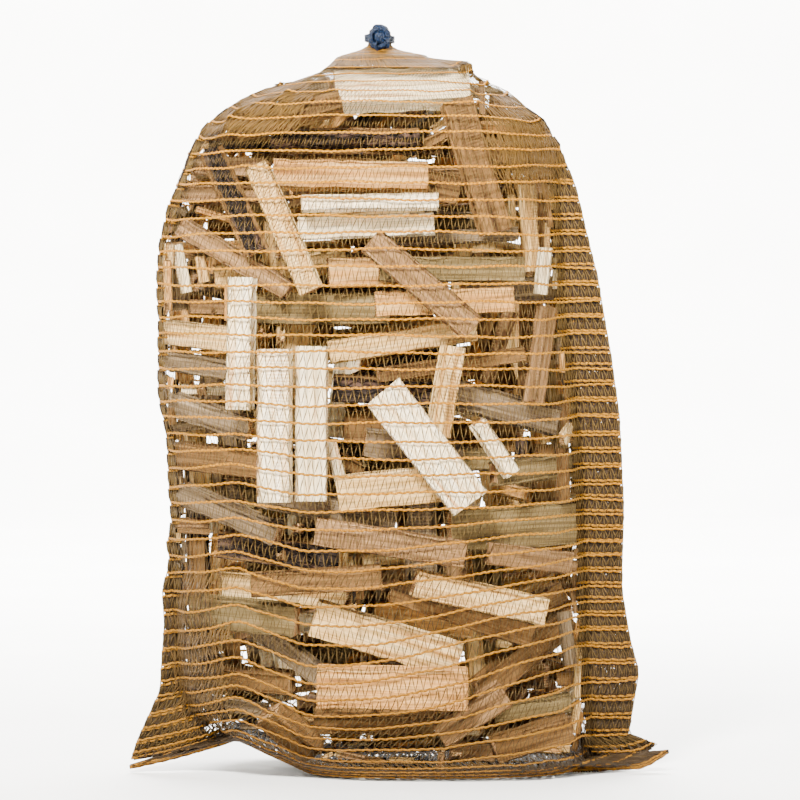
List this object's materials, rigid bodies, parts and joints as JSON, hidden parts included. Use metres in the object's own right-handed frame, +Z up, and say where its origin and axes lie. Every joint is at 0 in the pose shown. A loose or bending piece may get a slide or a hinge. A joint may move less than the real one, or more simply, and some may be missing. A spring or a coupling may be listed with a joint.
{
  "type": "sack of firewood kindling",
  "caption": "Knitted orange net sack packed with short split sticks of firewood, gathered and tied with blue twine at the neck, standing upright on its base.",
  "frame": {"origin": "middle of the base on the ground, under the centre of the bounding box", "axes": "+Z up through the tied neck, -Y towards the viewer's side with the named sticks, +X towards the slack side of the net"},
  "size_m": [0.549, 0.2874, 0.7474],
  "materials": {
    "knitted_net": "knitted raschel net of orange chain cords and thin yellow tapes",
    "twine": "shiny blue twine",
    "split_wood_white": "rough split wood with fibres and saw marks",
    "split_wood_cream": "rough split wood with fibres and saw marks",
    "split_wood_golden": "rough split wood with fibres and saw marks",
    "split_wood_tan": "rough split wood with fibres and saw marks",
    "split_wood_pink": "rough split wood with fibres and saw marks",
    "split_wood_olive": "rough split wood with fibres and saw marks",
    "split_wood_grey": "rough split wood with fibres and saw marks",
    "bark": "rough bark with cracks"
  },
  "bodies": {
    "root": {"net_sack": "knitted_net", "tie": "twine", "packed_sticks": "split_wood_pink", "stick_01": "split_wood_white", "stick_02": "split_wood_cream", "stick_03": "split_wood_white", "stick_04": "split_wood_white", "stick_05": "split_wood_white", "stick_06": "split_wood_white", "stick_07": "split_wood_golden", "stick_08": "split_wood_cream", "stick_09": "split_wood_pink", "stick_10": "split_wood_tan", "stick_11": "split_wood_tan", "stick_12": "split_wood_golden", "stick_13": "split_wood_white", "stick_14": "split_wood_white", "stick_15": "split_wood_cream", "stick_16": "split_wood_white", "stick_17": "bark", "stick_18": "split_wood_pink", "stick_19": "split_wood_tan", "stick_20": "split_wood_grey", "stick_21": "split_wood_cream", "stick_22": "split_wood_golden", "stick_23": "split_wood_olive", "stick_24": "bark", "stick_25": "split_wood_pink", "stick_26": "split_wood_tan", "stick_27": "split_wood_grey", "stick_28": "split_wood_pink", "stick_29": "split_wood_pink", "stick_30": "split_wood_cream", "stick_31": "split_wood_tan", "stick_32": "split_wood_tan", "stick_33": "split_wood_tan", "stick_34": "split_wood_olive", "stick_35": "split_wood_olive", "stick_36": "split_wood_pink", "stick_37": "split_wood_cream", "stick_38": "split_wood_tan", "stick_39": "split_wood_grey", "stick_40": "split_wood_pink", "stick_41": "split_wood_pink", "stick_42": "split_wood_tan", "stick_43": "split_wood_grey", "stick_44": "split_wood_grey", "stick_45": "split_wood_tan", "stick_46": "split_wood_cream", "stick_47": "split_wood_grey", "stick_48": "split_wood_olive", "stick_49": "split_wood_tan", "stick_50": "split_wood_grey", "stick_51": "split_wood_tan", "stick_52": "split_wood_olive", "stick_53": "split_wood_grey", "stick_54": "split_wood_pink", "stick_55": "split_wood_tan"}
  },
  "joints": []
}
